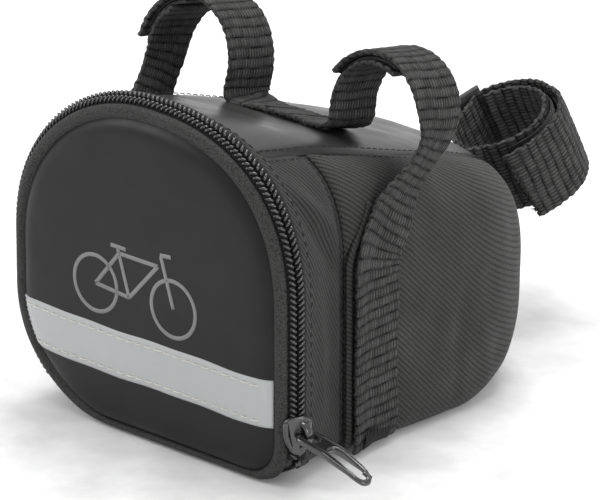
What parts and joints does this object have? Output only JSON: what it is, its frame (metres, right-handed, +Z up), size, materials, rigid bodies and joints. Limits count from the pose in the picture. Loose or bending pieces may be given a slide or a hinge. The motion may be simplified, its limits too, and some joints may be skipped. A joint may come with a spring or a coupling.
{
  "type": "saddle bag",
  "caption": "Wedge-shaped padded saddle bag with a zipped D-shaped lid, a reflective stripe, hook-and-loop rail straps and a seat-post strap.",
  "frame": {"origin": "middle of the flat underside of the bottom panel", "axes": "+Z up, -Y the way the zipped lid faces (the bicycle's rear), +Y towards the seat post, +X the side where the zip closes"},
  "size_m": [0.1435, 0.1865, 0.1172],
  "materials": {
    "skin_smooth": "smooth coated laminate",
    "skin_twill": "twill weave nylon",
    "lid_face": "matt moulded laminate",
    "foam": "closed-cell foam",
    "lining": "plain weave lining",
    "board": "stiffener sheet",
    "tape": "woven zip tape",
    "coil": "nylon coil",
    "stops": "black enamel",
    "webbing": "coarse webbing",
    "hook": "hook side of the fastener",
    "loop": "loop side of the fastener",
    "thread": "bartack thread",
    "anchor": "smooth coated laminate",
    "sleeve": "smooth sleeve",
    "reflective": "reflective tape",
    "emblem": "printed grey ink",
    "slider": "glossy black enamel"
  },
  "bodies": {
    "bag": {"top_panel": "skin_smooth", "rear_panel": "skin_smooth", "bottom_panel": "skin_smooth", "right_side_panel": "skin_twill", "left_side_panel": "skin_twill", "right_front_gusset": "skin_twill", "left_front_gusset": "skin_twill", "body_foam": "foam", "body_lining": "lining", "base_board": "board", "hinge_strip": "skin_twill", "zip_tape_body": "tape", "zip_coil_body": "coil", "zip_end_stops": "stops", "centre_webbing": "webbing", "right_side_webbing": "webbing", "left_side_webbing": "webbing", "right_leg_loop_patch": "loop", "left_leg_loop_patch": "loop", "bartacks": "thread", "rear_anchor_patch": "anchor", "post_strap_inner": "webbing", "post_strap_outer": "webbing", "post_loop_patch": "loop", "post_strap_sleeve": "sleeve"},
    "lid": {"lid_face_panel": "lid_face", "lid_foam": "foam", "lid_lining": "lining", "lid_gusset": "skin_twill", "zip_tape_lid": "tape", "zip_coil_lid": "coil", "reflective_stripe": "reflective", "emblem": "emblem"},
    "slider": {"slider_body": "slider"},
    "pull": {"pull_tab": "slider"},
    "right_tab": {"right_strap_tab": "webbing", "right_tab_hook_patch": "hook"},
    "left_tab": {"left_strap_tab": "webbing", "left_tab_hook_patch": "hook"},
    "post_end": {"post_strap_end": "webbing", "post_hook_patch": "hook"}
  },
  "joints": [
    {"name": "lid_hinge", "type": "hinge", "parent": "bag", "child": "lid", "pos_m": [0, -0.05895, 0.0009], "axis": [1, 0, 0], "range_deg": [0, 100]},
    {"name": "zip_slider_travel", "type": "slide", "parent": "bag", "child": "slider", "axis": [0, 0, 1], "range_m": [0, 0.03]},
    {"name": "pull_swing", "type": "hinge", "parent": "slider", "child": "pull", "pos_m": [0.06005, -0.059, 0.017], "axis": [0, 1, 0], "range_deg": [-78, 75]},
    {"name": "right_tab_peel", "type": "hinge", "parent": "bag", "child": "right_tab", "pos_m": [0.03766, 0.00576, 0.11533], "axis": [0, 0.9816, -0.1908], "range_deg": [0, 120]},
    {"name": "left_tab_peel", "type": "hinge", "parent": "bag", "child": "left_tab", "pos_m": [-0.03834, 0.00576, 0.11533], "axis": [0, 0.9816, -0.1908], "range_deg": [0, 120]},
    {"name": "post_strap_peel", "type": "hinge", "parent": "bag", "child": "post_end", "pos_m": [0.01136, 0.11354, 0.05793], "axis": [-0.137, -0.3836, 0.9133], "range_deg": [0, 110]}
  ]
}
